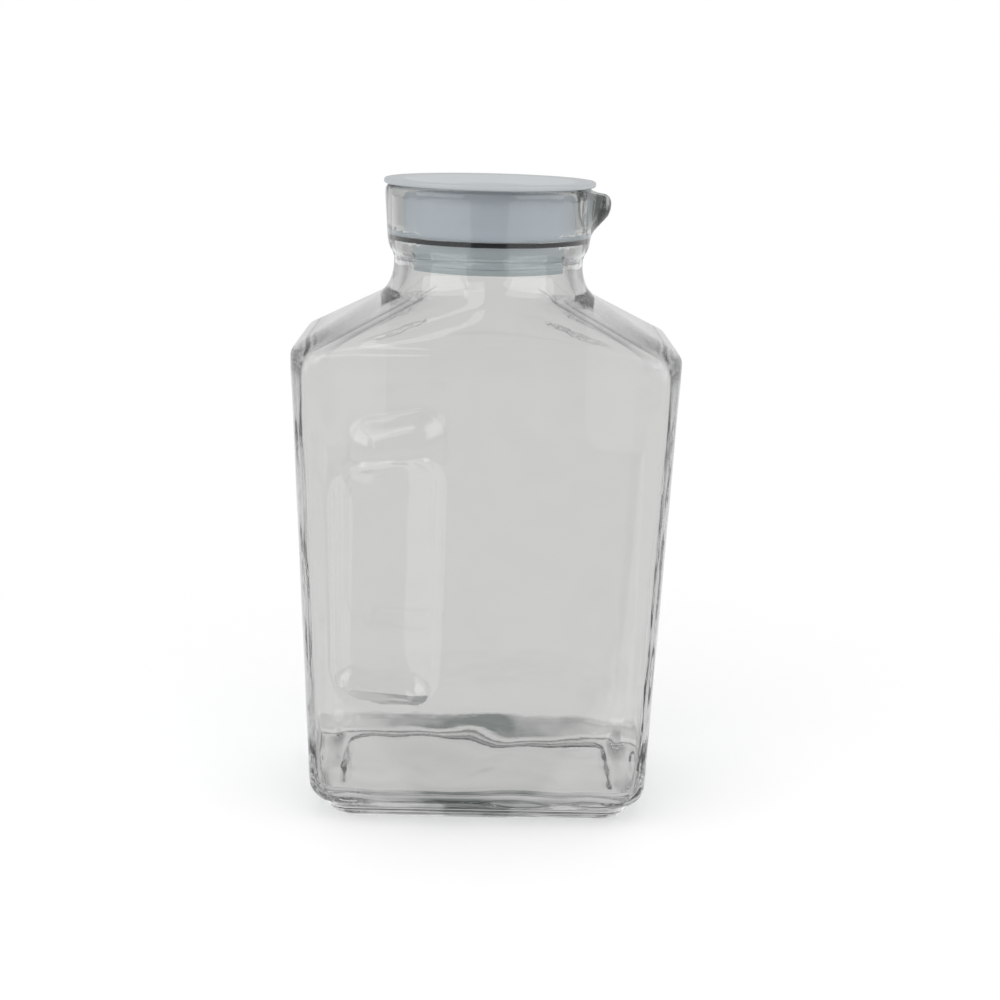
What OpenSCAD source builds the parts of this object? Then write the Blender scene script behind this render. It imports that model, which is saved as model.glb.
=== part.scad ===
// Glass pitcher for a refrigerator door, with a round lid pressed into its mouth.
// Millimetres. The base stands on Z = 0, the spout points along +X and +Y points away from the viewer.

/* [Body] */

// Width of the body just under its shoulders
body_w = 141.4; // [130:0.2:155]

// Depth of the body just under its shoulders
body_d = 88.4; // [82:0.2:100]

// How much narrower the body is at its heel than under its shoulders
taper_w = 11.4; // [4:0.2:14]

// How much less deep the body is at its heel than under its shoulders
taper_d = 4.8; // [2:0.2:8]

// Radius of the body's upright corners under its shoulders
corner_r = 18; // [12:0.5:20]

// Radius of the body's upright corners at its heel
heel_corner_r = 16; // [10:0.5:18]

// Rounding of the edge between the faces and the shoulders
shoulder_round = 2.5; // [2:0.5:6]

// Thickness of the body's walls
wall = 4; // [3:0.1:5]

// Thickness of the glass in the base
base_t = 8; // [6:0.5:10]

// Rounding inside the body, where its walls meet the base
inner_round = 9; // [6:0.5:10]

/* [Heights] */

// Height of the crease around the heel
heel_z = 13; // [11:0.5:16]

// Height of the upright foot under the heel
foot_h = 5; // [4:0.5:7]

// Rise of the shoulders, from the top of the body's faces to the neck's flare
shoulder_rise = 19.2; // [16:0.2:24]

// Height of the neck with its collar, above the shoulders
neck_h = 39.4; // [36:0.2:44]

// Height of the glass rim
rim_z = 238; // [225:0.5:250]

/* [Foot] */

// How far the foot lies inside the heel's crease
foot_inset = 6.5; // [4:0.5:8]

// Rounding of the foot's lower edge
foot_round = 1.2; // [1:0.1:2.5]

// Width of the flat ring that the pitcher stands on
foot_ring = 6; // [4:0.5:12]

// Depth of the hollow inside that ring
push_up = 1.2; // [0.5:0.1:2]

/* [Neck and collar] */

// Outer radius of the neck
neck_r = 35; // [32:0.5:38]

// Radius of the neck's bore
neck_bore_r = 28.9; // [26:0.1:30]

// Outer radius at the foot of the neck's flare
flare_r = 38.7; // [37:0.1:40]

// Radius of the flare's curve
flare_curve = 20; // [14:0.5:24]

// Outer radius of the collar at the rim
collar_r = 38.7; // [37:0.1:41]

// How much narrower the collar is at its lower edge
collar_taper = 1.3; // [0.5:0.1:2]

// Height of the collar
collar_h = 24.5; // [20:0.5:27]

// Radius of the collar's bore
collar_bore_r = 32.15; // [30.5:0.05:34]

// Depth of the ledge inside the collar, below the rim
ledge_depth = 18.4; // [14:0.2:22]

// Rounding of the rim's two edges
rim_round = 1.4; // [0.8:0.1:1.8]

// Rounding of the collar's lower edge
collar_round = 2.5; // [1:0.1:3]

// Rounding of the ledge's inner edge
ledge_round = 1.5; // [0.5:0.1:1.8]

/* [Spout] */

// Reach of the spout's tip from the neck's axis
spout_reach = 45.2; // [42:0.2:50]

// Drop of the tip below the rim
spout_drop = 7; // [6:0.2:9]

// Radius of the spout's tip
spout_tip_r = 6; // [4:0.2:6.6]

// Radius of the spout's broad root, inside the collar
spout_root_r = 28; // [20:0.5:32]

// Radius of the spout's narrow lower end
spout_foot_r = 4; // [2:0.5:6]

// Height of the spout on the collar
spout_h = 16.5; // [14:0.5:20]

// Depth of the lip's edge below the rim
lip_drop = 3.6; // [1:0.1:4.5]

// Radius of the pouring channel at its lower end
channel_r = 2; // [1:0.5:4]

// Angle at which the channel widens upwards
channel_angle = 20; // [12:1:24]

// Thickness of the lip at the spout's tip
lip_t = 2.2; // [1.6:0.1:3]

/* [Finger grips] */

// Distance of a grip's tall edge from the pitcher's middle
grip_near = 13.5; // [10:0.5:18]

// Distance of a grip's short edge from the pitcher's middle
grip_far = 57; // [50:0.5:58]

// Height of a tall edge's lower end
grip_low_z = 44.3; // [38:0.1:50]

// Distance of a tall edge's upper end below the shoulders
grip_top_gap = 31.1; // [25:0.1:37]

// How much further the tall edge reaches at each end than the short edge
grip_lean = 8.25; // [6:0.25:10]

// Depth of a grip's floor in the face
grip_depth = 8; // [5:0.5:9]

// Height of the slope between the tall edge's ends and the floor
grip_slope_end = 15; // [12:0.5:18]

// Width of the slope between a grip's tall edge and its floor
grip_slope_near = 9.5; // [6:0.5:11]

// Width of the slope between a grip's short edge and its floor
grip_slope_far = 7; // [4:0.5:9]

// Rounding of a grip's corners
grip_corner_r = 7; // [4:0.5:9]

/* [Lid] */

// Radius of the lid's disc
lid_r = 39; // [37:0.1:41]

// Thickness of the disc and of the plug's walls
lid_t = 2; // [1.5:0.1:2.5]

// Radius at which the dish in the lid's top begins
dish_r = 32.5; // [28:0.5:34]

// Radius of the dish's flat floor
dish_floor_r = 17; // [10:0.5:20]

// Depth of the dish
dish_depth = 2.5; // [1.5:0.1:6]

// Depth of the narrow lower plug below the ledge
plug_drop = 12; // [10:0.2:16]

// Distance of the lower plug's wall from the neck's bore
plug_gap = 1.1; // [0.8:0.1:2]

// Clearance between the lid's round surfaces and the glass
fit_gap = 0.35; // [0.3:0.05:0.5]

// Height of the lower sealing rib above the lower plug's end
rib_z = 3.2; // [2:0.1:4]

// Distance between the two sealing ribs
rib_pitch = 4; // [3:0.1:5]

// Rounding of the wide plug's lower corner
plug_round = 1.2; // [0.8:0.1:1.6]

/* [Hidden] */

$fn = 64;
hull_fn = 32;
arc_steps = 6;
sliver = 0.02;
overlap = 0.5;
quarter_turn = 90;
half_turn = 180;

glass_colour = [0.78, 0.83, 0.82, 0.4];
lid_colour = [0.86, 0.9, 0.93];

heel_w = body_w - taper_w;
heel_d = body_d - taper_d;
heel_round = heel_z - foot_h;
heel_end = acos(1 - foot_inset / heel_round);
foot_w = heel_w - 2 * foot_inset;
foot_d = heel_d - 2 * foot_inset;
foot_corner_r = heel_corner_r - foot_inset / 2;
ring_corner_r = foot_corner_r - foot_ring / 2;
neck_z = rim_z - neck_h;
shoulder_z = neck_z - shoulder_rise;
shoulder_run = body_w / 2 - shoulder_round - flare_r;
shoulder_slope = atan((shoulder_rise - shoulder_round) / shoulder_run);
slope_drop = wall / cos(shoulder_slope);
inner_flare_r = flare_r - wall;
inner_flare_curve = flare_curve + neck_r - neck_bore_r;
inner_flare_end = acos(1 - (inner_flare_r - neck_bore_r) / inner_flare_curve);
inner_neck_z = neck_z - slope_drop + wall * tan(shoulder_slope);
inner_flare_z = inner_neck_z + inner_flare_curve * sin(inner_flare_end);
inner_shoulder_z = neck_z - slope_drop - (body_w / 2 - wall - flare_r) * tan(shoulder_slope);
ledge_z = rim_z - ledge_depth;
collar_z = rim_z - collar_h;
collar_low_r = collar_r - collar_taper;
flare_end = acos(1 - (flare_r - neck_r) / flare_curve);
flare_z = neck_z + flare_curve * sin(flare_end);
grip_tall = shoulder_z - grip_top_gap - grip_low_z;
grip_short = grip_tall - 2 * grip_lean;
grip_floor_h = grip_tall - 2 * grip_slope_end;
grip_z = grip_low_z + grip_tall / 2;
grip_floor_y = body_d / 2 - grip_depth;
grip_overshoot = 0.25;
plug_r = collar_bore_r - fit_gap;
lower_plug_r = neck_bore_r - plug_gap;
rib_r = plug_gap - fit_gap;
step_z = ledge_z + fit_gap;
plug_end_z = ledge_z - plug_drop;
lid_top_z = rim_z + lid_t;
hollow_r = plug_r - lid_t;
dish_slope = dish_depth / (dish_r - dish_floor_r);

// Outlines and curves

module rounded_rect(w, d, r) {
    square([w - 2 * r, d], center = true);
    square([w, d - 2 * r], center = true);
    for (x = [-1, 1], y = [-1, 1])
        translate([x * (w / 2 - r), y * (d / 2 - r)])
            circle(r);
}

// A level slice of the body, drawn in from a full width and depth, for the hulls below
module slice(z, w, d, r, inset) {
    translate([0, 0, z])
        linear_extrude(sliver)
            rounded_rect(w - 2 * inset, d - 2 * inset, max(r - inset, sliver), $fn = hull_fn);
}

// Slices that round an edge, from upright to an end angle, upwards or downwards
module rounded_edge(z, w, d, r, curve, end, up) {
    for (i = [0 : arc_steps])
        let (a = end * i / arc_steps)
            slice(z + up * curve * sin(a), w, d, r, curve * (1 - cos(a)));
}

// Points of an arc about a centre, from one angle to another
function arc(centre, r, from, to) = [
    for (i = [0 : arc_steps])
        let (a = from + (to - from) * i / arc_steps)
            centre + r * [cos(a), sin(a)]
];

// The glass

module outer_body() {
    hull() {
        rounded_edge(heel_z, heel_w, heel_d, heel_corner_r, heel_round, heel_end, -1);
        rounded_edge(shoulder_z, body_w, body_d, corner_r, shoulder_round, quarter_turn, 1);
        translate([0, 0, neck_z])
            cylinder(h = sliver, r = flare_r, $fn = 2 * hull_fn);
    }
}

// The space inside the body, with the grips standing into it
module cavity() {
    difference() {
        hull() {
            rounded_edge(
                base_t + inner_round,
                heel_w - 2 * wall,
                heel_d - 2 * wall,
                heel_corner_r - wall,
                inner_round,
                quarter_turn,
                -1
            );
            slice(inner_shoulder_z, body_w - 2 * wall, body_d - 2 * wall, corner_r - wall, 0);
            translate([0, 0, inner_neck_z])
                cylinder(h = sliver, r = inner_flare_r, $fn = 2 * hull_fn);
        }
        grips(wall);
    }
}

module foot() {
    linear_extrude(foot_round + overlap)
        rounded_rect(foot_w - 2 * foot_round, foot_d - 2 * foot_round, foot_corner_r - foot_round);
    translate([0, 0, foot_round])
        linear_extrude(foot_h)
            rounded_rect(foot_w, foot_d, foot_corner_r);
}

// The hollow under the foot, inside the flat ring that the pitcher stands on
module foot_hollow() {
    translate([0, 0, -overlap])
        linear_extrude(push_up + overlap)
            rounded_rect(foot_w - 2 * foot_ring, foot_d - 2 * foot_ring, ring_corner_r);
}

// One upright outline of a grip: t is 0 at its floor and 1 at the face, grow widens it all round
module grip_plate(t, y, grow) {
    near_x = -grip_near - grip_slope_near * (1 - t) - grip_corner_r;
    far_x = -grip_far + grip_slope_far * (1 - t) + grip_corner_r;
    tall = grip_floor_h + (grip_tall - grip_floor_h) * t;
    short = grip_floor_h + (grip_short - grip_floor_h) * t;
    for (side = [-1, 1], edge = [[near_x, tall], [far_x, short]])
        translate([edge[0], y, grip_z + side * (edge[1] / 2 - grip_corner_r)])
            rotate([-quarter_turn, 0, 0])
                cylinder(h = sliver, r = grip_corner_r + grow, $fn = hull_fn);
}

// A grip as a block with sloping sides that reaches a little past the face.
// It is deeper by extra for the inside of the glass.
module grip(extra) {
    hull() {
        grip_plate(0, grip_floor_y - extra, extra / 2);
        grip_plate(1 + grip_overshoot, body_d / 2 + grip_overshoot * grip_depth, extra / 2);
    }
}

module grips(extra) {
    grip(extra);
    mirror([0, 1, 0])
        grip(extra);
}

// Neck and collar as one turned ring, with the flare at its foot
module neck_ring() {
    rotate_extrude()
        polygon(concat(
            [[neck_bore_r - overlap, neck_z - wall]],
            [[neck_r, neck_z - wall]],
            arc([neck_r + flare_curve, flare_z], flare_curve, half_turn + flare_end, half_turn),
            [[neck_r, collar_z]],
            arc([collar_low_r - collar_round, collar_z + collar_round], collar_round, -quarter_turn, 0),
            arc([collar_r - rim_round, rim_z - rim_round], rim_round, 0, quarter_turn),
            [[neck_bore_r - overlap, rim_z]]
        ));
}

// The space inside the neck and collar, with a flare at its foot like the outer one,
// and the ledge that the lid's step sits on
module bore() {
    rotate_extrude()
        polygon(concat(
            [[0, inner_neck_z - overlap]],
            [[inner_flare_r, inner_neck_z - overlap]],
            arc(
                [neck_bore_r + inner_flare_curve, inner_flare_z],
                inner_flare_curve,
                half_turn + inner_flare_end,
                half_turn
            ),
            arc([neck_bore_r + ledge_round, ledge_z - ledge_round], ledge_round, half_turn, quarter_turn),
            [[collar_bore_r, ledge_z]],
            arc([collar_bore_r + rim_round, rim_z - rim_round], rim_round, half_turn, quarter_turn),
            [[collar_bore_r + rim_round, rim_z + overlap]],
            [[0, rim_z + overlap]]
        ));
}

// A beak that is broad at the rim and narrow at the foot of the collar
module spout() {
    hull() {
        translate([collar_r - spout_root_r - rim_round, 0, rim_z - spout_drop])
            cylinder(h = spout_drop, r = spout_root_r, $fn = 2 * hull_fn);
        translate([spout_reach - spout_tip_r, 0, rim_z - spout_drop]) {
            sphere(spout_tip_r, $fn = hull_fn);
            cylinder(h = spout_drop - lip_drop, r = spout_tip_r - sliver, $fn = hull_fn);
        }
        translate([collar_low_r - spout_foot_r, 0, rim_z - spout_h])
            sphere(spout_foot_r, $fn = hull_fn);
    }
}

// The pouring channel, a leaning cone that widens from the ledge to the lip
module channel() {
    rise = rim_z - ledge_z;
    lean = atan((spout_reach - lip_t - collar_bore_r) / rise) - channel_angle;
    translate([collar_bore_r - channel_r, 0, ledge_z + ledge_round])
        rotate([0, lean, 0])
            cylinder(h = 2 * rise, r1 = channel_r, r2 = channel_r + 2 * rise * tan(channel_angle));
}

module pitcher() {
    color(glass_colour)
        difference() {
            union() {
                difference() {
                    outer_body();
                    grips(0);
                }
                foot();
                neck_ring();
                spout();
            }
            cavity();
            bore();
            channel();
            foot_hollow();
        }
}

// The lid

// Half-round sealing rib on the lower plug, as points from its top to its bottom
function rib(z) = arc([lower_plug_r, z], rib_r, quarter_turn, -quarter_turn);

module lid() {
    color(lid_colour)
        rotate_extrude()
            polygon(concat(
                [[0, lid_top_z - dish_depth]],
                [[dish_floor_r, lid_top_z - dish_depth]],
                [[dish_r, lid_top_z]],
                arc([lid_r - lid_t / 2, lid_top_z - lid_t / 2], lid_t / 2, quarter_turn, -quarter_turn),
                [[plug_r, rim_z]],
                arc([plug_r - plug_round, step_z + plug_round], plug_round, 0, -quarter_turn),
                [[lower_plug_r, step_z]],
                rib(plug_end_z + rib_z + rib_pitch),
                rib(plug_end_z + rib_z),
                [[lower_plug_r, plug_end_z]],
                [[lower_plug_r - lid_t, plug_end_z]],
                [[lower_plug_r - lid_t, step_z + lid_t]],
                [[hollow_r, step_z + lid_t]],
                [[hollow_r, rim_z - dish_slope * (dish_r - hollow_r)]],
                [[dish_floor_r, rim_z - dish_depth]],
                [[0, rim_z - dish_depth]]
            ));
}

pitcher();
lid();
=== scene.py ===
# Glass pitcher for a refrigerator door, with a round lid pressed into its mouth.
# Everything is in metres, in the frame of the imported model.
import math

import bmesh
import bpy
from mathutils import Euler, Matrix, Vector


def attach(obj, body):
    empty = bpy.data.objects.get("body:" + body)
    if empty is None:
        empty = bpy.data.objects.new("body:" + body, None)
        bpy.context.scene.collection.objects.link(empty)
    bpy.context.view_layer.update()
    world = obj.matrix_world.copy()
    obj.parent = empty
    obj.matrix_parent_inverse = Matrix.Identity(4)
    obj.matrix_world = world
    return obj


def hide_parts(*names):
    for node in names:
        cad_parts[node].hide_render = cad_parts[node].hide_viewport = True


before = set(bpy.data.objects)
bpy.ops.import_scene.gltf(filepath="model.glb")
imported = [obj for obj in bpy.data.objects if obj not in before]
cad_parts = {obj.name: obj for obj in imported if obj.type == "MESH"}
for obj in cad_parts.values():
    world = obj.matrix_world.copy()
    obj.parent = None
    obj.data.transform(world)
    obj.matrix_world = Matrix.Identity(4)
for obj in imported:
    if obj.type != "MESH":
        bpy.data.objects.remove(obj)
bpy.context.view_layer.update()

mm = 0.001
nearZero = 0.01 * mm  # places closer than this count as the same
right, up, left, down = 0, 90, 180, -90  # directions in a profile, in degrees
fullTurn = 360

longPath = 40  # bounces; light runs a long way inside glass walls
shortPath = 16
scene = bpy.context.scene
scene.view_settings.view_transform = "Standard"
scene.cycles.max_bounces = longPath
scene.cycles.transmission_bounces = longPath
scene.cycles.glossy_bounces = shortPath
scene.cycles.transparent_max_bounces = shortPath


# Small modelling helpers

def same(first, second):
    # true for two measures that are meant to be equal
    return abs(first - second) < nearZero


def deselectAll():
    if bpy.context.mode != "OBJECT":
        bpy.ops.object.mode_set(mode="OBJECT")
    bpy.ops.object.select_all(action="DESELECT")


def activate(piece):
    deselectAll()
    piece.select_set(True)
    bpy.context.view_layer.objects.active = piece


def newPiece(name):
    # names the primitive that was just added, and opens it for editing
    piece = bpy.context.active_object
    piece.name = name
    piece.data.name = name
    bpy.ops.object.mode_set(mode="EDIT")
    return piece


def closeEdit(piece):
    # leaves edit mode with clean outward faces, and puts the piece's place into its mesh
    bpy.ops.mesh.select_all(action="SELECT")
    bpy.ops.mesh.remove_doubles(threshold=nearZero)
    bpy.ops.mesh.normals_make_consistent(inside=False)
    bpy.ops.object.mode_set(mode="OBJECT")
    bpy.ops.object.transform_apply(location=True, rotation=True, scale=True)
    return piece


def pickVertices(piece, wanted):
    # selects the vertices whose place passes the test, with the edges and faces between them
    bpy.ops.mesh.select_mode(type="VERT")
    bpy.ops.mesh.select_all(action="DESELECT")
    mesh = bmesh.from_edit_mesh(piece.data)
    for vertex in mesh.verts:
        vertex.select = wanted(piece.matrix_world @ vertex.co)
    mesh.select_flush(True)
    bmesh.update_edit_mesh(piece.data)


def pickEdges(piece, wanted):
    # selects the edges whose two ends pass the test
    bpy.ops.mesh.select_mode(type="EDGE")
    bpy.ops.mesh.select_all(action="DESELECT")
    mesh = bmesh.from_edit_mesh(piece.data)
    for edge in mesh.edges:
        ends = [piece.matrix_world @ vertex.co for vertex in edge.verts]
        if wanted(ends[0], ends[1]):
            edge.select = True
    mesh.select_flush(True)
    bmesh.update_edit_mesh(piece.data)


def arc(centreX, centreZ, radius, start, end, steps):
    # points of an arc in a profile, from one direction to another
    angles = [math.radians(start + (end - start) * i / steps) for i in range(steps + 1)]
    return [(centreX + radius * math.cos(a), centreZ + radius * math.sin(a)) for a in angles]


def applyModifier(piece, kind, **settings):
    activate(piece)
    modifier = piece.modifiers.new(kind.title(), kind)
    for key, value in settings.items():
        setattr(modifier, key, value)
    bpy.ops.object.modifier_apply(modifier=modifier.name)


def cut(piece, tool, operation="DIFFERENCE", crossed=False):
    # crossed is slower, for a shape whose own faces cross
    applyModifier(piece, "BOOLEAN", operation=operation, solver="EXACT", use_self=crossed, object=tool)
    bpy.data.objects.remove(tool)


def weighVertices(piece, name, weigh):
    # a vertex group whose weight at each vertex comes from its place
    group = piece.vertex_groups.new(name=name)
    for vertex in piece.data.vertices:
        weight = weigh(vertex.co)
        if weight > 0:
            group.add([vertex.index], min(weight, 1), "REPLACE")
    return name


def fade(value, start, end):
    # 0 at start and 1 at end, eased at both
    t = min(max((value - start) / (end - start), 0), 1)
    return t * t * (3 - 2 * t)


def ring(width, depth, back, height):
    # a level ring for growCap, a little back from a full width and depth
    return (width - 2 * back, depth - 2 * back, height)


def growCap(start, rings):
    # pushes the selected cap up through level rings, each a width, depth and height
    width, depth, height = start
    for newWidth, newDepth, newHeight in rings:
        bpy.ops.mesh.extrude_region_move(
            TRANSFORM_OT_translate={"value": (0, 0, newHeight - height)}
        )
        bpy.ops.transform.resize(
            value=(newWidth / width, newDepth / depth, 1),
            center_override=(0, 0, newHeight),
        )
        width, depth, height = newWidth, newDepth, newHeight


def roundRings(profile):
    # the round rings of a profile's radii and heights
    return [(radius, radius, height) for radius, height in profile]


def turnedPiece(name, profile, segments):
    # a turned solid: profile is (radius, height) from the first cap to the last one
    startRadius, startHeight = profile[0]
    bpy.ops.mesh.primitive_circle_add(
        vertices=segments, radius=startRadius, fill_type="NGON", location=(0, 0, startHeight)
    )
    piece = newPiece(name)
    growCap((startRadius, startRadius, startHeight), roundRings(profile[1:]))
    return closeEdit(piece)


# Glass pitcher

glass = {
    "bodyWidth": 141.4 * mm,
    "bodyDepth": 88.4 * mm,
    "heelWidth": 130 * mm,
    "heelDepth": 83.6 * mm,
    "heelCorner": 16 * mm,
    "heelHeight": 13 * mm,
    "heelRound": 8 * mm,
    "heelInset": 6.5 * mm,
    "footRound": 1.2 * mm,
    "ringWidth": 6 * mm,
    "pushUp": 1.2 * mm,
    "wall": 4 * mm,
    "baseThick": 8 * mm,
    "innerRound": 9 * mm,
    "shoulderHeight": 179.4 * mm,
    "shoulderRound": 2.5 * mm,
    "neckHeight": 198.6 * mm,
    "flareRadius": 38.7 * mm,
    "flareCurve": 20 * mm,
    "neckRadius": 35 * mm,
    "neckBore": 28.9 * mm,
    "collarHeight": 213.5 * mm,
    "collarLow": 37.4 * mm,
    "collarTop": 38.7 * mm,
    "collarRound": 2.5 * mm,
    "collarBore": 32.15 * mm,
    "ledgeHeight": 219.6 * mm,
    "ledgeRound": 1.5 * mm,
    "rimHeight": 238 * mm,
    "rimRound": 1.4 * mm,
    "cornerSteps": 31,
    "footSteps": 4,
    "shoulderSteps": 6,
    "outerSteps": 8,
    "innerSteps": 6,
    "flareSteps": 10,
    "voxel": 1.56 * mm,
    "waveSize": 26 * mm,
    "waveDepth": 2.4 * mm,
}

grip = {
    "near": 13.5 * mm,
    "far": 57 * mm,
    "middle": 96.3 * mm,
    "tall": 104 * mm,
    "short": 87.5 * mm,
    "floorTall": 74 * mm,
    "depth": 8 * mm,
    "slopeNear": 9.5 * mm,
    "slopeFar": 7 * mm,
    "corner": 7 * mm,
    "cornerSteps": 10,
    "floorRound": 3 * mm,
    "floorSteps": 5,
    "overshoot": 0.25,
}

spout = {
    "reach": 45.2 * mm,
    "drop": 7 * mm,
    "tipRadius": 6 * mm,
    "tipSides": 32,
    "rootRadius": 28 * mm,
    "rootSides": 96,
    "footRadius": 4 * mm,
    "footSides": 24,
    "height": 16.5 * mm,
    "lipDrop": 3.6 * mm,
    "lipThick": 2.2 * mm,
    "channelRadius": 2 * mm,
    "channelAngle": 20,
    "channelSides": 64,
}


def roundedBlock(name, width, depth, corner, height):
    # a level plate with round corners, as the start of the body; its cap stays selected
    bpy.ops.mesh.primitive_plane_add(size=1, location=(0, 0, height))
    piece = newPiece(name)
    bpy.ops.transform.resize(value=(width, depth, 1), center_override=(0, 0, height))
    bpy.ops.mesh.bevel(
        offset=corner, segments=glass["cornerSteps"], affect="VERTICES", offset_type="OFFSET"
    )
    bpy.ops.mesh.select_all(action="SELECT")
    return piece


def bridgeToNeck(piece, radius, height):
    # swaps the cap for a round ring and joins the two loops, corner to quarter circle
    bpy.ops.mesh.delete(type="ONLY_FACE")
    count = 4 * (glass["cornerSteps"] + 1)
    topHeight = max(v.co.z for v in bmesh.from_edit_mesh(piece.data).verts)
    bpy.ops.mesh.select_all(action="DESELECT")
    bpy.ops.mesh.primitive_circle_add(vertices=count, radius=radius, location=(0, 0, height))
    bpy.ops.transform.rotate(
        value=math.pi / count, orient_axis="Z", center_override=(0, 0, height)
    )
    ringHeight = height - piece.location.z
    mesh = bmesh.from_edit_mesh(piece.data)
    for vertex in mesh.verts:
        vertex.select = same(vertex.co.z, topHeight) or same(vertex.co.z, ringHeight)
    mesh.select_flush(True)
    bmesh.update_edit_mesh(piece.data)
    bpy.ops.mesh.select_mode(type="EDGE")
    bpy.ops.mesh.bridge_edge_loops()
    pickVertices(piece, lambda place: same(place.z, height))
    bpy.ops.mesh.edge_face_add()


def outerBody():
    inset = glass["heelInset"]
    heelRound = glass["heelRound"]
    footRound = glass["footRound"]
    shoulderRound = glass["shoulderRound"]
    footWidth = glass["heelWidth"] - 2 * inset
    footDepth = glass["heelDepth"] - 2 * inset
    heelEnd = math.acos(1 - inset / heelRound)
    start = ring(footWidth, footDepth, footRound, 0)
    corner = glass["heelCorner"] - inset / 2 - footRound
    piece = roundedBlock("pitcher_glass", start[0], start[1], corner, 0)
    rings = []
    for i in range(1, glass["footSteps"] + 1):  # the foot's rounded lower edge
        angle = math.radians(up * i / glass["footSteps"])
        back = footRound * (1 - math.sin(angle))
        rings.append(ring(footWidth, footDepth, back, footRound * (1 - math.cos(angle))))
    for i in range(glass["outerSteps"], -1, -1):  # the heel's quarter round
        angle = heelEnd * i / glass["outerSteps"]
        back = heelRound * (1 - math.cos(angle))
        height = glass["heelHeight"] - heelRound * math.sin(angle)
        rings.append(ring(glass["heelWidth"], glass["heelDepth"], back, height))
    for i in range(glass["shoulderSteps"] + 1):  # the shoulders' edge
        angle = math.radians(up * i / glass["shoulderSteps"])
        back = shoulderRound * (1 - math.cos(angle))
        height = glass["shoulderHeight"] + shoulderRound * math.sin(angle)
        rings.append(ring(glass["bodyWidth"], glass["bodyDepth"], back, height))
    growCap(start, rings)
    bridgeToNeck(piece, glass["flareRadius"], glass["neckHeight"])
    narrowing = glass["flareRadius"] - glass["neckRadius"]
    flareEnd = math.degrees(math.acos(1 - narrowing / glass["flareCurve"]))
    flareTop = glass["neckHeight"] + glass["flareCurve"] * math.sin(math.radians(flareEnd))
    profile = arc(
        glass["neckRadius"] + glass["flareCurve"], flareTop, glass["flareCurve"],
        left + flareEnd, left, glass["outerSteps"],
    )[1:]
    profile += [(glass["neckRadius"], glass["collarHeight"])]
    profile += arc(
        glass["collarLow"] - glass["collarRound"],
        glass["collarHeight"] + glass["collarRound"],
        glass["collarRound"], down, right, glass["outerSteps"],
    )
    profile += arc(
        glass["collarTop"] - glass["rimRound"],
        glass["rimHeight"] - glass["rimRound"],
        glass["rimRound"], right, up, glass["outerSteps"],
    )
    growCap(
        (glass["flareRadius"], glass["flareRadius"], glass["neckHeight"]),
        roundRings(profile),
    )
    return closeEdit(piece)


def innerSpace():
    wall = glass["wall"]
    baseThick = glass["baseThick"]
    innerRound = glass["innerRound"]
    bore = glass["neckBore"]
    width = glass["heelWidth"] - 2 * wall
    depth = glass["heelDepth"] - 2 * wall
    start = ring(width, depth, innerRound, baseThick)
    corner = glass["heelCorner"] - wall - innerRound
    piece = roundedBlock("inner_space", start[0], start[1], corner, baseThick)
    rings = []
    for i in range(1, glass["outerSteps"] + 1):  # the round where the walls meet the base
        angle = math.radians(up * i / glass["outerSteps"])
        back = innerRound * (1 - math.sin(angle))
        rings.append(ring(width, depth, back, baseThick + innerRound * (1 - math.cos(angle))))
    shoulderRun = glass["bodyWidth"] / 2 - glass["shoulderRound"] - glass["flareRadius"]
    slope = (glass["neckHeight"] - glass["shoulderHeight"] - glass["shoulderRound"]) / shoulderRun
    slopeDrop = wall * math.hypot(1, slope)  # keeps the shoulders' walls even
    innerFlare = glass["flareRadius"] - wall
    boreStart = glass["neckHeight"] - slopeDrop + wall * slope
    innerShoulder = boreStart - (glass["bodyWidth"] / 2 - wall - innerFlare) * slope
    rings.append(ring(glass["bodyWidth"], glass["bodyDepth"], wall, innerShoulder))
    growCap(start, rings)
    bridgeToNeck(piece, innerFlare, boreStart)
    flareCurve = glass["flareCurve"] + glass["neckRadius"] - bore
    flareEnd = math.acos(1 - (innerFlare - bore) / flareCurve)
    profile = arc(
        bore + flareCurve, boreStart + flareCurve * math.sin(flareEnd), flareCurve,
        left + math.degrees(flareEnd), left, glass["flareSteps"],
    )[1:]
    profile += arc(
        bore + glass["ledgeRound"],
        glass["ledgeHeight"] - glass["ledgeRound"],
        glass["ledgeRound"], left, up, glass["innerSteps"],
    )
    profile += [(glass["collarBore"], glass["ledgeHeight"])]
    mouth = glass["collarBore"] + glass["rimRound"]
    profile += arc(
        mouth, glass["rimHeight"] - glass["rimRound"],
        glass["rimRound"], left, up, glass["innerSteps"],
    )
    profile += [(mouth, glass["rimHeight"] + wall)]
    growCap((innerFlare, innerFlare, boreStart), roundRings(profile))
    return closeEdit(piece)


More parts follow.
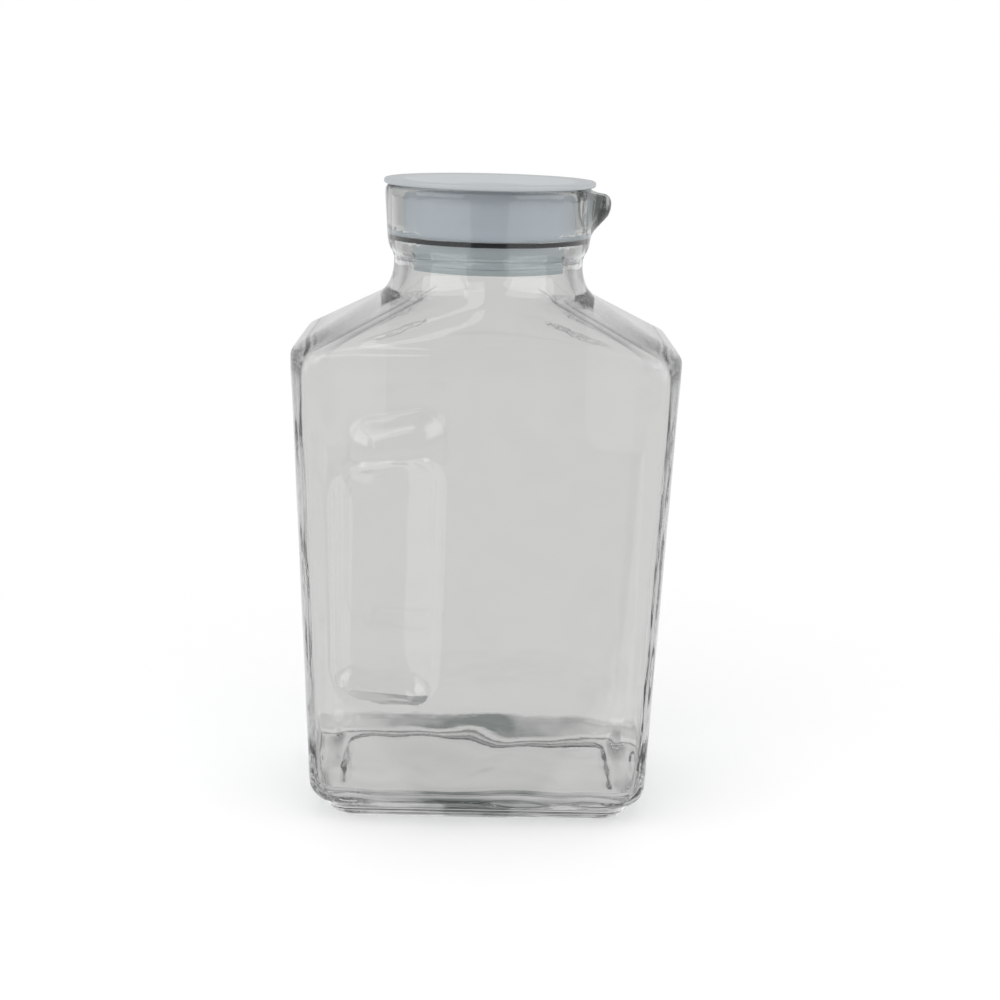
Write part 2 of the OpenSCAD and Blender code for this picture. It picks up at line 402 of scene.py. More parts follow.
def gripBlock(name, side, deeper):
    # the block that a grip's outline and floor are cut with; deeper makes it larger for the inside
    beyond = grip["overshoot"]
    floorWidth = grip["far"] - grip["slopeFar"] - grip["near"] - grip["slopeNear"] + deeper
    floorTall = grip["floorTall"] + deeper
    length = (1 + beyond) * grip["depth"] + deeper
    faceTall = grip["tall"] + beyond * (grip["tall"] - grip["floorTall"]) + deeper
    faceShort = grip["short"] + beyond * (grip["short"] - grip["floorTall"]) + deeper
    nearFace = -grip["near"] + beyond * grip["slopeNear"] + deeper / 2
    farFace = -grip["far"] - beyond * grip["slopeFar"] - deeper / 2
    floorMiddle = -(grip["near"] + grip["slopeNear"] + grip["far"] - grip["slopeFar"]) / 2
    floorY = glass["bodyDepth"] / 2 - grip["depth"] - deeper
    bpy.ops.mesh.primitive_cube_add(
        size=1, location=(floorMiddle, side * (floorY + length / 2), grip["middle"])
    )
    piece = newPiece(name)
    bpy.ops.transform.resize(value=(floorWidth, length, floorTall))
    faceY = side * (floorY + length)
    for atFar, target, tall in ((False, nearFace, faceTall), (True, farFace, faceShort)):
        pickVertices(
            piece,
            lambda place: same(place.y, faceY) and (place.x < floorMiddle) == atFar,
        )
        edgeX = floorMiddle + (-0.5 if atFar else 0.5) * floorWidth
        bpy.ops.transform.resize(
            value=(1, 1, tall / floorTall), center_override=(edgeX, faceY, grip["middle"])
        )
        bpy.ops.transform.translate(value=(target - edgeX, 0, 0))
    pickEdges(piece, lambda a, b: abs(a.y - b.y) > length / 2)
    bpy.ops.mesh.bevel(
        offset=grip["corner"] + deeper / 2, segments=grip["cornerSteps"], affect="EDGES"
    )
    pickEdges(piece, lambda a, b: same(a.y, side * floorY) and same(b.y, side * floorY))
    bpy.ops.mesh.bevel(offset=grip["floorRound"], segments=grip["floorSteps"], affect="EDGES")
    return closeEdit(piece)


def spoutBeak():
    # the skin round a disc at the rim, a round tip and a small foot on the collar
    rim = glass["rimHeight"]
    drop = spout["drop"]
    bpy.ops.mesh.primitive_cylinder_add(
        vertices=spout["rootSides"], radius=spout["rootRadius"], depth=drop,
        location=(glass["collarTop"] - spout["rootRadius"] - glass["rimRound"], 0, rim - drop / 2),
    )
    piece = newPiece("spout_beak")
    tipX = spout["reach"] - spout["tipRadius"]
    bpy.ops.mesh.primitive_uv_sphere_add(
        segments=spout["tipSides"], ring_count=spout["tipSides"] // 2, radius=spout["tipRadius"],
        location=(tipX, 0, rim - drop),
    )
    bpy.ops.mesh.primitive_cylinder_add(
        vertices=spout["tipSides"], radius=spout["tipRadius"], depth=drop - spout["lipDrop"],
        location=(tipX, 0, rim - (drop + spout["lipDrop"]) / 2),
    )
    bpy.ops.mesh.primitive_uv_sphere_add(
        segments=spout["footSides"], ring_count=spout["footSides"] // 2, radius=spout["footRadius"],
        location=(glass["collarLow"] - spout["footRadius"], 0, rim - spout["height"]),
    )
    bpy.ops.mesh.select_all(action="SELECT")
    bpy.ops.mesh.convex_hull()
    return closeEdit(piece)


def spoutChannel():
    # a leaning cone that opens from the ledge to the lip
    rise = glass["rimHeight"] - glass["ledgeHeight"]
    reach = spout["reach"] - spout["lipThick"] - glass["collarBore"]
    spread = math.radians(spout["channelAngle"])
    lean = math.atan(reach / rise) - spread
    startX = glass["collarBore"] - spout["channelRadius"]
    start = Vector((startX, 0, glass["ledgeHeight"] + glass["ledgeRound"]))
    axis = Vector((math.sin(lean), 0, math.cos(lean)))
    bpy.ops.mesh.primitive_cone_add(
        vertices=spout["channelSides"],
        radius1=spout["channelRadius"],
        radius2=spout["channelRadius"] + 2 * rise * math.tan(spread),
        depth=2 * rise,
        location=start + axis * rise,
        rotation=(0, lean, 0),
    )
    piece = newPiece("spout_channel")
    return closeEdit(piece)


def footHollow():
    # the shallow space inside the ring that the pitcher stands on
    back = glass["heelInset"] + glass["ringWidth"]
    piece = roundedBlock(
        "foot_hollow",
        glass["heelWidth"] - 2 * back,
        glass["heelDepth"] - 2 * back,
        glass["heelCorner"] - back / 2,
        -glass["wall"],
    )
    bpy.ops.mesh.extrude_region_move(
        TRANSFORM_OT_translate={"value": (0, 0, glass["wall"] + glass["pushUp"])}
    )
    return closeEdit(piece)


deselectAll()
glassPiece = outerBody()
for side in (-1, 1):
    cut(glassPiece, gripBlock("grip_block", side, 0))
cut(glassPiece, spoutBeak(), "UNION")
innerPiece = innerSpace()
for side in (-1, 1):
    cut(innerPiece, gripBlock("grip_block", side, glass["wall"]), crossed=True)
cut(glassPiece, innerPiece)
cut(glassPiece, spoutChannel())
cut(glassPiece, footHollow())
print("glass solid:", len(glassPiece.data.polygons), "faces")

applyModifier(glassPiece, "REMESH", mode="VOXEL", voxel_size=glass["voxel"], adaptivity=0.0)
print("glass remeshed:", len(glassPiece.data.polygons), "faces")

# how the hot glass waves and melts; a pair is the span from none to full, or from full to none
melt = {
    "factor": 0.5,
    "everywhere": 4,
    "body": 10,
    "shoulders": 40,
    "floorWaves": (20 * mm, 62 * mm),
    "sideBand": 9 * mm,
    "wallTop": (150 * mm, 185 * mm),
    "sideShare": 0.35,
    "wallShare": 0.08,
    "bodyStart": (16 * mm, 24 * mm),
    "bodyEnd": (198 * mm, 206 * mm),
    "gripShare": 0.25,
    "gripEdge": (2 * mm, 8 * mm),
    "shouldersStart": (150 * mm, 166 * mm),
    "shouldersEnd": (193 * mm, 199 * mm),
}


def between(start, end, share):
    # the value that lies a share of the way from start to end, the share kept from 0 to 1
    return start + (end - start) * min(max(share, 0), 1)


def waveWeight(place):
    # the inner surface, most of all its floor and its narrow walls, where pressed glass sets unevenly
    rise = place.z / glass["shoulderHeight"]
    halfWidth = between(glass["heelWidth"], glass["bodyWidth"], rise) / 2 - glass["wall"]
    halfDepth = between(glass["heelDepth"], glass["bodyDepth"], rise) / 2 - glass["wall"]
    if abs(place.z - grip["middle"]) < grip["tall"] / 2 + glass["wall"] and place.x < 0:
        halfDepth -= grip["depth"] / 2
    margin = glass["voxel"]
    inside = abs(place.x) < halfWidth + margin and abs(place.y) < halfDepth + margin
    if not inside or place.z < glass["baseThick"] - margin:
        return 0
    nearFloor = 1 - fade(place.z, *melt["floorWaves"])
    belowTop = 1 - fade(place.z, *melt["wallTop"])
    nearSides = fade(abs(place.x), halfWidth - melt["sideBand"], halfWidth) * belowTop
    return max(nearFloor, melt["sideShare"] * nearSides, melt["wallShare"] * belowTop)


def meltWeight(place):
    # the body's faces and shoulders, whose edges are softer than those of the foot, neck and grips
    onBody = fade(place.z, *melt["bodyStart"]) * (1 - fade(place.z, *melt["bodyEnd"]))
    middle = -(grip["near"] + grip["far"]) / 2
    fromGrip = max(
        abs(place.x - middle) - (grip["far"] - grip["near"]) / 2,
        abs(place.z - grip["middle"]) - grip["tall"] / 2,
    )
    return onBody * (melt["gripShare"] + (1 - melt["gripShare"]) * fade(fromGrip, *melt["gripEdge"]))


def innerShoulderWeight(place):
    # the inside of the shoulders, which melts rounder than the outside
    rise = fade(place.z, *melt["shouldersStart"]) * (1 - fade(place.z, *melt["shouldersEnd"]))
    across = (place.z - glass["shoulderHeight"]) / (glass["neckHeight"] - glass["shoulderHeight"])
    halfWidth = between(glass["bodyWidth"] / 2, glass["flareRadius"], across) - glass["wall"] / 2
    halfDepth = between(glass["bodyDepth"] / 2, glass["flareRadius"], across) - glass["wall"] / 2
    inside = abs(place.x) < halfWidth and abs(place.y) < halfDepth
    return rise if inside else 0


wave = bpy.data.textures.new("glass_wave", "CLOUDS")
wave.noise_scale = glass["waveSize"]
wave.noise_depth = 1
applyModifier(
    glassPiece, "DISPLACE", texture=wave, texture_coords="LOCAL", mid_level=0.5,
    strength=glass["waveDepth"], vertex_group=weighVertices(glassPiece, "waves", waveWeight),
)
applyModifier(glassPiece, "SMOOTH", factor=melt["factor"], iterations=melt["everywhere"])
applyModifier(
    glassPiece, "SMOOTH", factor=melt["factor"], iterations=melt["body"],
    vertex_group=weighVertices(glassPiece, "melt", meltWeight),
)
applyModifier(
    glassPiece, "SMOOTH", factor=melt["factor"], iterations=melt["shoulders"],
    vertex_group=weighVertices(glassPiece, "inner_shoulders", innerShoulderWeight),
)
activate(glassPiece)
bpy.ops.object.shade_smooth()
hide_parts("pitcher")
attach(glassPiece, "pitcher")
print("glass waved and fire-polished")


# Lid

lid = {
    "radius": 39 * mm,
    "thick": 2 * mm,
    "dishRadius": 32.5 * mm,
    "dishFloor": 17 * mm,
    "dishDepth": 2.5 * mm,
    "dishEdge": 0.8 * mm,
    "dishBend": 1.5 * mm,
    "edgeEase": 0.05 * mm,
    "ease": 0.03 * mm,
    "plugRadius": 31.8 * mm,
    "lowerRadius": 27.8 * mm,
    "stepHeight": 219.95 * mm,
    "endHeight": 207.6 * mm,
    "endRound": 0.5 * mm,
    "ribRadius": 0.75 * mm,
    "ribHeights": (3.2 * mm, 7.2 * mm),
    "plugRound": 1.2 * mm,
    "edgeRound": 0.8 * mm,
    "endSteps": 4,
    "edgeSteps": 6,
    "ribSteps": 8,
    "segments": 160,
    "creaseAngle": 40,
}


def lidProfile():
    # from the middle of the hollow's ceiling, down its wall, round the outside and over the top
    rim = glass["rimHeight"]
    thick = lid["thick"]
    top = rim + thick
    step = lid["stepHeight"]
    hollow = lid["plugRadius"] - thick
    innerLower = lid["lowerRadius"] - thick
    endRound = lid["endRound"]
    edgeRound = lid["edgeRound"]
    plugRound = lid["plugRound"]
    slope = lid["dishDepth"] / (lid["dishRadius"] - lid["dishFloor"])
    endMiddle = lid["endHeight"] + endRound
    points = [
        (lid["dishFloor"], rim - lid["dishDepth"]),
        (hollow, rim - slope * (lid["dishRadius"] - hollow)),
        (hollow, step + thick),
        (innerLower, step + thick),
    ]
    points += arc(innerLower + endRound, endMiddle, endRound, left, down + fullTurn, lid["endSteps"])
    points += arc(lid["lowerRadius"] - endRound, endMiddle, endRound, down, right, lid["endSteps"])
    for height in lid["ribHeights"]:
        points += arc(
            lid["lowerRadius"], lid["endHeight"] + height, lid["ribRadius"], down, up, lid["ribSteps"]
        )
    points += [(lid["lowerRadius"], step)]
    points += arc(lid["plugRadius"] - plugRound, step + plugRound, plugRound, down, right, lid["edgeSteps"])
    points += [(lid["plugRadius"], rim)]
    edgeMiddle = lid["radius"] - edgeRound
    points += arc(edgeMiddle, rim + edgeRound, edgeRound, down, right, lid["edgeSteps"])
    points += arc(edgeMiddle, top - edgeRound, edgeRound, right, up, lid["edgeSteps"])
    # the dish's two bends are eased a little
    edge = lid["dishEdge"]
    bend = lid["dishBend"]
    ease = lid["ease"]
    floorHeight = top - lid["dishDepth"]
    points += [
        (lid["dishRadius"] + edge, top),
        (lid["dishRadius"], top - lid["edgeEase"]),
        (lid["dishRadius"] - edge, top - edge * slope - ease),
        (lid["dishFloor"] + bend, floorHeight + bend * slope + ease),
        (lid["dishFloor"], floorHeight + 2 * ease),
        (lid["dishFloor"] - bend, floorHeight),
    ]
    return points


lidPiece = turnedPiece("lid_plastic", lidProfile(), lid["segments"])
activate(lidPiece)
bpy.ops.object.shade_smooth_by_angle(angle=math.radians(lid["creaseAngle"]))
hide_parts("lid")
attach(lidPiece, "lid")
print("lid:", len(lidPiece.data.polygons), "faces")


# Shader nodes

class Value:
    # wraps a socket, so that sums and products written in Python add their Math nodes

    def __init__(self, kit, socket):
        self.kit = kit
        self.socket = socket

    def __add__(self, other):
        return self.kit.maths("ADD", self, other)

    __radd__ = __add__

    def __sub__(self, other):
        return self.kit.maths("SUBTRACT", self, other)

    def __rsub__(self, other):
        return self.kit.maths("SUBTRACT", other, self)

    def __mul__(self, other):
        return self.kit.maths("MULTIPLY", self, other)

    __rmul__ = __mul__

    def __abs__(self):
        return self.kit.maths("ABSOLUTE", self, 0)


class NodeKit:
    # adds the nodes of one tree; sockets and outputs are given by name or number, as Blender has them
    objectPlace = 3
    generated = 0
    rays = {"camera": 0, "shadow": 1, "glossy": 4, "transmission": 6}

    def __init__(self, tree):
        self.tree = tree
        tree.nodes.clear()

    def add(self, kind, settings=None, sockets=None, out=0):
        node = self.tree.nodes.new(kind)
        for key, value in (settings or {}).items():
            if key == "stops":
                ramp = node.color_ramp
                while len(ramp.elements) < len(value):
                    ramp.elements.new(0.5)
                for element, (position, colour) in zip(ramp.elements, value):
                    element.position = position
                    element.color = colour
            else:
                setattr(node, key, value)
        for key, value in (sockets or {}).items():
            if isinstance(value, Value):
                self.tree.links.new(value.socket, node.inputs[key])
            else:
                node.inputs[key].default_value = value
        return Value(self, node.outputs[out]) if len(node.outputs) else node

    def maths(self, operation, first, second):
        return self.add("ShaderNodeMath", {"operation": operation}, {0: first, 1: second})

    def vector(self, operation, first, second=(0, 0, 0), out=0):
        sockets = {0: first, 1: second}
        return self.add("ShaderNodeVectorMath", {"operation": operation}, sockets, out)

    def mix(self, factor, first, second, blend="MIX"):
        settings = {"data_type": "RGBA", "blend_type": blend}
        return self.add("ShaderNodeMix", settings, {0: factor, 6: first, 7: second}, out=2)

    def mixShader(self, factor, first, second):
        return self.add("ShaderNodeMixShader", sockets={0: factor, 1: first, 2: second})

    def place(self, out=objectPlace):
        return self.add("ShaderNodeTexCoord", out=out)

    def parts(self, vector):
        # a vector's three parts
        first = self.add("ShaderNodeSeparateXYZ", sockets={0: vector})
        return [Value(self, output) for output in first.socket.node.outputs]

    def length(self, vector):
        return self.vector("LENGTH", vector, out=1)

    def isRay(self, kind):
        return self.add("ShaderNodeLightPath", out=self.rays[kind])

    def noise(self, place, scale, detail):
        sockets = {"Vector": place, "Scale": scale, "Detail": detail}
        return self.add("ShaderNodeTexNoise", sockets=sockets)

    def rise(self, value, span, low=0, high=1, soft=False):
        # goes from low to high while the value crosses the span
        settings = {"interpolation_type": "SMOOTHSTEP" if soft else "LINEAR"}
        sockets = {0: value, 1: span[0], 2: span[1], 3: low, 4: high}
        return self.add("ShaderNodeMapRange", settings, sockets)

    def fall(self, value, span, soft=False):
        return self.rise(value, span, 1, 0, soft)


def newMaterial(name):
    material = bpy.data.materials.new(name)
    material.use_nodes = True
    return material, NodeKit(material.node_tree)


def grey(shade):
    return (shade, shade, shade, 1)


levelPart = (1, 1, 0)  # what a place or direction is multiplied by, to leave its height out


# Glass material

glassLook = {
    "clear": (1.0, 1.0, 0.99, 1),
    "smudge": (0.955, 0.957, 0.95, 1),
    # the tones from here to the hips' line are painted shade, standing for dark reflections and refraction
    # lines
    "ledgePaintedShade": (0.010, 0.014, 0.02, 1),
    "rimPaintedShade": (0.42, 0.43, 0.43, 1),
    "heelPaintedDark": (0.09, 0.11, 0.105, 1),
    "heelPaintedPaleShade": (0.68, 0.69, 0.68, 1),
    "collarEndsPaintedShade": (0.66, 0.68, 0.66, 1),
    "beak": (0.02, 0.024, 0.024, 1),
    "hipPaintedShade": (0.36, 0.38, 0.38, 1),
    "shadow": (0.86, 0.88, 0.88, 1),
    "melted": 0.15,
    "sides": 0.035,
    "ior": 1.5,
    "absorbColour": (0.50, 0.55, 0.53, 1),
    "absorbDensity": 3.0,
}

# the scale and detail of each noise, and the strength and depth of its bumps
glassSkin = {
    "waves": (45.0, 2.0),
    "peel": (380.0, 2.0),
    "smudges": (70.0, 8.0),
    "waveStrength": 0.3,
    "waveDepth": 0.4 * mm,
    "peelStrength": 0.12,
    "peelDepth": 0.1 * mm,
}

# where the painted shade on the glass lies; a pair is the span over which a tone comes or goes
glassPlaces = {
    "ledgeMiddle": glass["ledgeHeight"] - 0.7 * mm,
    "ledgeHalf": (0.75 * mm, 1.05 * mm),
    "ledgeReach": (30.6 * mm, 31.0 * mm),
    "heelCorner": 0.015,
    "heelSide": (0.424, 0.436),
    "heelTop": (11 * mm, 12.6 * mm),
    "heelFoot": (2.2 * mm, 3.4 * mm),
    "patches": (0.55, 0.95),
    "patchDrift": 8.0,
    "collar": (212 * mm, 215 * mm),
    "collarEndsPaintedShade": (27 * mm, 33 * mm),
    "beakEnd": (38.0 * mm, 40.2 * mm),
    "beakTop": (230 * mm, 233 * mm),
    "hipMiddle": glass["flareRadius"] * math.sqrt(0.5),
    "hipEdge": (-2.4 * mm, -0.8 * mm),
    "hipFade": (-0.8 * mm, 6 * mm),
    "hipStart": (176 * mm, 186 * mm),
    "hipEnd": (197 * mm, 200 * mm),
    "meltedOut": (34 * mm, 46 * mm),
    "meltedUp": (146 * mm, 168 * mm),
    "sides": (56 * mm, 62 * mm),
    "rim": (236.4 * mm, 237.2 * mm),
}


def paintedHeelShade(kit, waves, sideways, backward, height):
    # painted shade on the heel's thick rounding, dark and paler in patches, for the dark reflections it
    # shows; its place is a share of the heel's width or depth, less near the corners
    spans = glassPlaces
    toSide = sideways * (1 / glass["heelWidth"]) - spans["heelCorner"]
    outward = kit.maths("MAXIMUM", toSide, backward * (1 / glass["heelDepth"]))
    heel = kit.rise(outward, spans["heelSide"]) * kit.fall(height, spans["heelTop"])
    heel = heel * kit.rise(height, spans["heelFoot"])
    patchy = kit.rise(waves + sideways * spans["patchDrift"], spans["patches"])
    return heel, kit.mix(patchy, glassLook["heelPaintedDark"], glassLook["heelPaintedPaleShade"])


def hipShade(kit, sideways, backward, height):
    # painted shade: a dark line follows each hip, from the neck's foot to the body's corner, and fades over
    # the narrow slope beside it, standing for the dark refraction line there
    spans = glassPlaces
    middle = spans["hipMiddle"]
    run = (glass["bodyWidth"] - 2 * middle) / (glass["bodyDepth"] - 2 * middle)
    pastHip = (sideways - middle) - (backward - middle) * run
    line = kit.rise(pastHip, spans["hipEdge"], soft=True) * kit.fall(pastHip, spans["hipFade"], soft=True)
    line = line * kit.rise(height, spans["hipStart"], soft=True)
    return line * kit.fall(height, spans["hipEnd"])


def glassMaterial():
    look = glassLook
    skin = glassSkin
    spans = glassPlaces
    material, kit = newMaterial("pressed_glass")
    place = kit.place()
    waves = kit.noise(place, *skin["waves"])
    peel = kit.noise(place, *skin["peel"])
    smudges = kit.noise(place, *skin["smudges"])
    broad = kit.add("ShaderNodeBump", sockets={
        "Height": waves, "Strength": skin["waveStrength"], "Distance": skin["waveDepth"],
    })
    bump = kit.add("ShaderNodeBump", sockets={
        "Height": peel, "Strength": skin["peelStrength"], "Distance": skin["peelDepth"], "Normal": broad,
    })
    ahead, behind, height = kit.parts(place)
    sideways, backward = abs(ahead), abs(behind)
    radius = kit.length(kit.vector("MULTIPLY", place, levelPart))

    # painted shade: a dark line round the ledge's rounded edge, dark and metallic there
    ledgePaintedShade = kit.fall(abs(height - spans["ledgeMiddle"]), spans["ledgeHalf"])
    ledgePaintedShade = ledgePaintedShade * kit.fall(radius, spans["ledgeReach"])

    # painted shade on the collar's sides and on the spout's underside, darkening the reflections there
    onCollar = kit.rise(height, spans["collar"])
    collarEndsPaintedShade = onCollar * kit.rise(sideways, spans["collarEndsPaintedShade"], soft=True)
    beak = kit.rise(ahead, spans["beakEnd"], soft=True) * kit.fall(height, spans["beakTop"], soft=True)
    beak = beak * onCollar

    # the shoulders' hips keep a melted skin, which blurs what they show
    melted = kit.rise(sideways, spans["meltedOut"], soft=True)
    melted = melted * kit.rise(height, spans["meltedUp"], soft=True)
    atSides = kit.rise(sideways, spans["sides"], soft=True)
    roughness = kit.maths("MAXIMUM", melted * look["melted"], atSides * look["sides"])

    heel, heelPaintedTone = paintedHeelShade(kit, waves, sideways, backward, height)
    colour = kit.mix(smudges, look["smudge"], look["clear"])
    colour = kit.mix(heel, colour, heelPaintedTone)
    colour = kit.mix(collarEndsPaintedShade, colour, look["collarEndsPaintedShade"])
    colour = kit.mix(beak, colour, look["beak"])
    colour = kit.mix(hipShade(kit, sideways, backward, height), colour, look["hipPaintedShade"])
    # painted shade: a thin dark line round the top of the rim, under the lid
    colour = kit.mix(kit.rise(height, spans["rim"]), colour, look["rimPaintedShade"])
    colour = kit.mix(ledgePaintedShade, colour, look["ledgePaintedShade"])
    surface = kit.add("ShaderNodeBsdfPrincipled", sockets={
        "Base Color": colour,
        "Metallic": ledgePaintedShade,
        "Roughness": roughness,
        "IOR": look["ior"],
        "Transmission Weight": 1.0,
        "Normal": bump,
    })
    inside = kit.add("ShaderNodeVolumeAbsorption", sockets={
        "Color": look["absorbColour"],
        "Density": look["absorbDensity"],
    })
    # shadow rays go straight through
    straight = kit.add("ShaderNodeBsdfTransparent", sockets={"Color": look["shadow"]})
    mixed = kit.mixShader(kit.isRay("shadow"), surface, straight)
    kit.add("ShaderNodeOutputMaterial", sockets={"Surface": mixed, "Volume": inside})
    return material


# Lid material

lidLook = {
    "plug": (0.42, 0.462, 0.515, 1),
    # painted shade: the plug below the step is darker, as it lies in shade
    "lowerPlugPaintedShade": (0.37, 0.415, 0.435, 1),
    # painted light and shade on the lid's top: the rim and the dish's floor darker, the dish's slope
    # lighter
    "rim": (0.42, 0.442, 0.457, 1),
    "slope": (0.50, 0.527, 0.543, 1),
    "floor": (0.43, 0.457, 0.487, 1),
    "rimEdge": (lid["dishRadius"] - 2.5 * mm, lid["dishRadius"] + 1 * mm),
    "topEdge": (glass["rimHeight"] - 2.6 * mm, glass["rimHeight"] - 0.5 * mm),
    "floorEdge": (lid["dishFloor"] - 0.8 * mm, lid["dishFloor"] + 0.8 * mm),
    "stepEdge": (lid["stepHeight"] - 2 * mm, lid["stepHeight"] + 2 * mm),
    "cloud": (28.0, 3.0),
    "cloudShade": 0.86,
    "cloudShare": 0.5,
    "grain": (1400.0, 1.0),
    "grainStrength": 0.15,
    "grainDepth": 0.1 * mm,
    "roughness": 0.32,
    "cloudRoughness": 0.14,
    "ior": 1.49,
    "milk": 0.3,
    "milkDepth": 6 * mm,
}


def lidMaterial():
    look = lidLook
    material, kit = newMaterial("milky_plastic")
    place = kit.place()
    radius = kit.length(kit.vector("MULTIPLY", place, levelPart))
    height = kit.parts(place)[2]
    # painted light and shade: the dish's slope lighter, its floor and the rim darker, as light falls on
    # them
    onSlope = kit.rise(radius, look["floorEdge"], soft=True)
    top = kit.mix(onSlope, look["floor"], look["slope"])
    top = kit.mix(kit.rise(radius, look["rimEdge"], soft=True), top, look["rim"])
    # painted shade on the plug below the step
    aboveStep = kit.rise(height, look["stepEdge"], soft=True)
    body = kit.mix(aboveStep, look["lowerPlugPaintedShade"], look["plug"])
    body = kit.mix(kit.rise(height, look["topEdge"], soft=True), body, top)
    cloud = kit.noise(place, *look["cloud"])
    shade = kit.mix(cloud, grey(look["cloudShade"]), grey(1.0))
    grain = kit.noise(place, *look["grain"])
    bump = kit.add("ShaderNodeBump", sockets={
        "Height": grain, "Strength": look["grainStrength"], "Distance": look["grainDepth"],
    })
    surface = kit.add("ShaderNodeBsdfPrincipled", sockets={
        "Base Color": kit.mix(look["cloudShare"], body, shade, blend="MULTIPLY"),
        "Roughness": look["roughness"] + look["cloudRoughness"] * cloud,
        "IOR": look["ior"],
        "Subsurface Weight": look["milk"],
        "Subsurface Radius": (look["milkDepth"], look["milkDepth"], look["milkDepth"]),
        "Normal": bump,
    })
    kit.add("ShaderNodeOutputMaterial", sockets={"Surface": surface})
    return material


for piece, newLook in ((glassPiece, glassMaterial()), (lidPiece, lidMaterial())):
    piece.data.materials.clear()
    piece.data.materials.append(newLook)
print("materials ready")


# Floor, room and light

studio = {
    "throughGlass": 0.64,  # what glass shows behind it, where the camera itself sees white
    "gloom": 0.42,
    "ceiling": 0.3,
    "gap": 0.5,
    # painted light on the floor, as glossy rays see it
    "paintedWindowLight": 1.5,
    "ambient": 0.78,
    "floorSize": 4.0,
    "floorDrop": 0.3 * mm,
    "paper": 0.97,
    "paperEnd": (0.1, 0.34),
    "gapEdge": (0.3, 0.38),
    "sheetEdge": (0.74, 0.9),
    "ceilingEdge": (0.35, 0.6),
    "footWidth": 58.5 * mm,
    "footDepth": 35.3 * mm,
    # painted shadow under the foot, as shares of what glass shows behind it
    "paintedContactShadow": (
        (0.0, 0.86), (0.465, 0.84), (0.485, 0.3), (0.495, 0.25), (0.51, 0.92), (0.7, 1.0),
    ),
}

bpy.ops.mesh.primitive_plane_add(size=studio["floorSize"], location=(0, 0, -studio["floorDrop"]))
floor = bpy.context.active_object
floor.name = "floor"
material, kit = newMaterial("pale_floor")
place = kit.place()
paper = kit.add("ShaderNodeBsdfDiffuse", sockets={"Color": grey(studio["paper"])})
white = kit.add("ShaderNodeEmission", sockets={"Color": grey(1.0)})
sheet = kit.mixShader(kit.rise(kit.length(place), studio["paperEnd"], soft=True), paper, white)

# under the foot's ring, glass shows the floor with a painted shadow of the foot; the foot's edge lies at
# 0.5
footShare = (1 / studio["footWidth"], 1 / studio["footDepth"], 0)
across, deep = kit.parts(kit.vector("MULTIPLY", place, footShare))[:2]
fromMiddle = kit.maths("MAXIMUM", abs(across), abs(deep)) * 0.5
stops = [(position, grey(shade * studio["throughGlass"])) for position, shade in studio["paintedContactShadow"]]
paintedContactShadow = kit.add("ShaderNodeValToRGB", {"stops": stops}, {0: fromMiddle})
behindGlass = kit.add("ShaderNodeEmission", sockets={"Color": paintedContactShadow})

# painted light: glossy rays see the floor glow at both sides, where the windows' light would fall, with a
# dimmer gap between them
toSide = abs(kit.parts(kit.vector("NORMALIZE", place))[0])
paintedWindowBands = kit.rise(toSide, studio["gapEdge"], studio["gap"], studio["paintedWindowLight"], soft=True)
floorPaintedLight = kit.add("ShaderNodeEmission", sockets={"Color": grey(1.0), "Strength": paintedWindowBands})
seen = kit.mixShader(kit.isRay("glossy"), sheet, floorPaintedLight)
seen = kit.mixShader(kit.isRay("transmission"), seen, behindGlass)
kit.add("ShaderNodeOutputMaterial", sockets={"Surface": seen})
floor.data.materials.append(material)

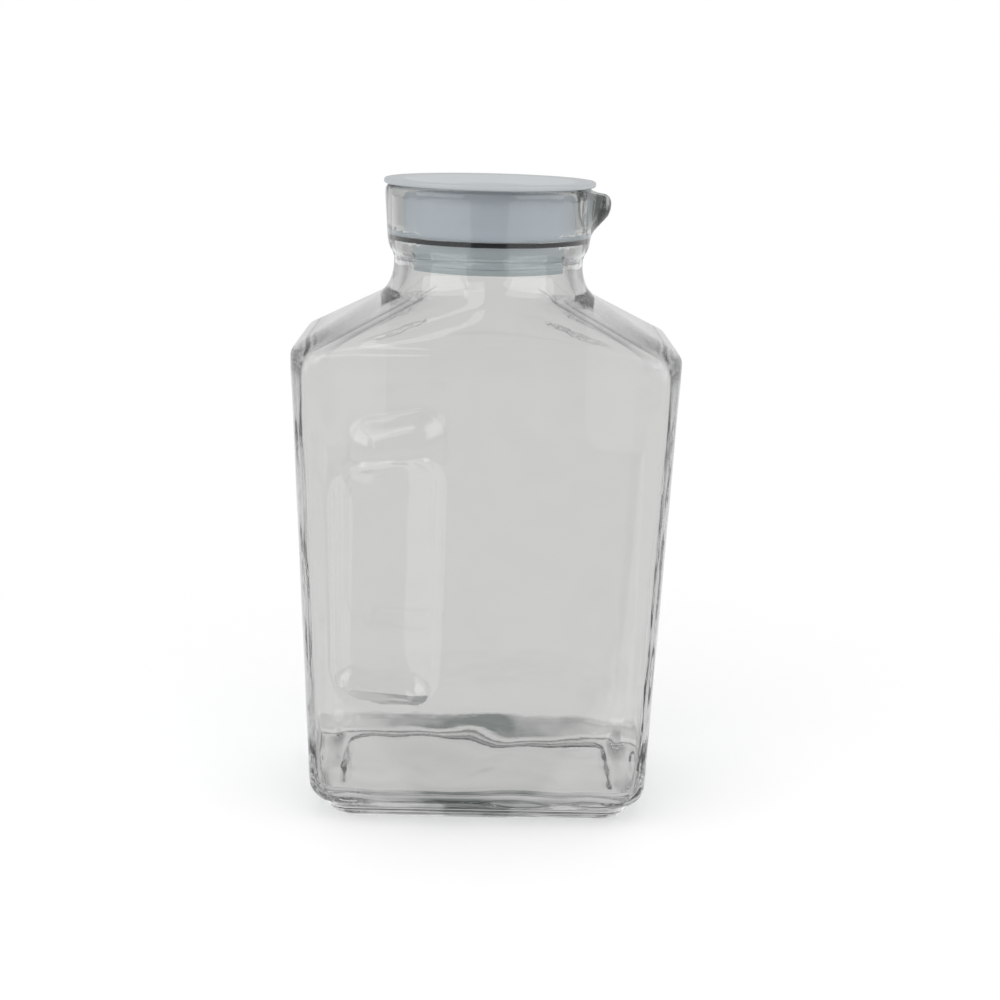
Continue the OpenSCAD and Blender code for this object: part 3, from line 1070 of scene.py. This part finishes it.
# the room: a bright sheet behind the pitcher, and gloom to its sides, above and at the camera
world = bpy.data.worlds.new("studio")
scene.world = world
world.use_nodes = True
kit = NodeKit(world.node_tree)
direction = kit.place(kit.generated)
compass = kit.vector("NORMALIZE", kit.vector("MULTIPLY", direction, levelPart))
backward = kit.parts(compass)[1]
sheetLight = kit.rise(backward, studio["sheetEdge"], studio["gloom"], studio["throughGlass"], soft=True)
overhead = kit.rise(kit.parts(direction)[2], studio["ceilingEdge"], soft=True)
roomLight = sheetLight * (1 - overhead) + overhead * studio["ceiling"]
camera = kit.add("ShaderNodeBackground", sockets={"Color": grey(1.0), "Strength": 1.0})
seenRoom = kit.add("ShaderNodeBackground", sockets={"Color": grey(1.0), "Strength": roomLight})
ambient = kit.add("ShaderNodeBackground", sockets={"Color": grey(studio["ambient"]), "Strength": 1.0})
other = kit.mixShader(kit.isRay("transmission") + kit.isRay("glossy"), ambient, seenRoom)
whole = kit.mixShader(kit.isRay("camera"), other, camera)
kit.add("ShaderNodeOutputWorld", sockets={"Surface": whole})

lampTarget = Vector((0, 0, 0.12))
lamps = {
    "window_left": {"place": (-1.02, -0.64, 0.75), "wide": 1.3, "tall": 0.9, "watts": 6.5},
    "window_right": {"place": (1.0, -0.66, 0.75), "wide": 1.4, "tall": 0.9, "watts": 6.5},
    "softbox_top": {"place": (-0.32, -1.0, 1.05), "wide": 0.5, "tall": 0.35, "watts": 1.0},
}
for name, lamp in lamps.items():
    bpy.ops.object.light_add(type="AREA", location=lamp["place"])
    light = bpy.context.active_object
    light.name = name
    light.data.shape = "RECTANGLE"
    light.data.size = lamp["wide"]
    light.data.size_y = lamp["tall"]
    light.data.energy = lamp["watts"]
    aim = lampTarget - Vector(lamp["place"])
    light.rotation_euler = aim.to_track_quat("-Z", "Y").to_euler()
print("studio ready")


# Camera

view = {
    "place": (-1.8 * mm, -595.3 * mm, 274.4 * mm),
    "downward": 0.257,
    "sideways": 0.014,
    "roll": 0.025,
    "lens": 57.17,
    "sensor": 36,
    "nearest": 10 * mm,
}
bpy.ops.object.camera_add(location=view["place"])
cameraObject = bpy.context.active_object
cameraObject.name = "photo_camera"
cameraObject.data.lens = view["lens"]
cameraObject.data.sensor_width = view["sensor"]
cameraObject.data.clip_start = view["nearest"]
turn = Euler((0, 0, -view["sideways"])).to_matrix()
tilt = Euler((math.pi / 2 - view["downward"], 0, 0)).to_matrix()
roll = Euler((0, 0, view["roll"])).to_matrix()
cameraObject.rotation_euler = (turn @ tilt @ roll).to_euler()
scene.camera = cameraObject
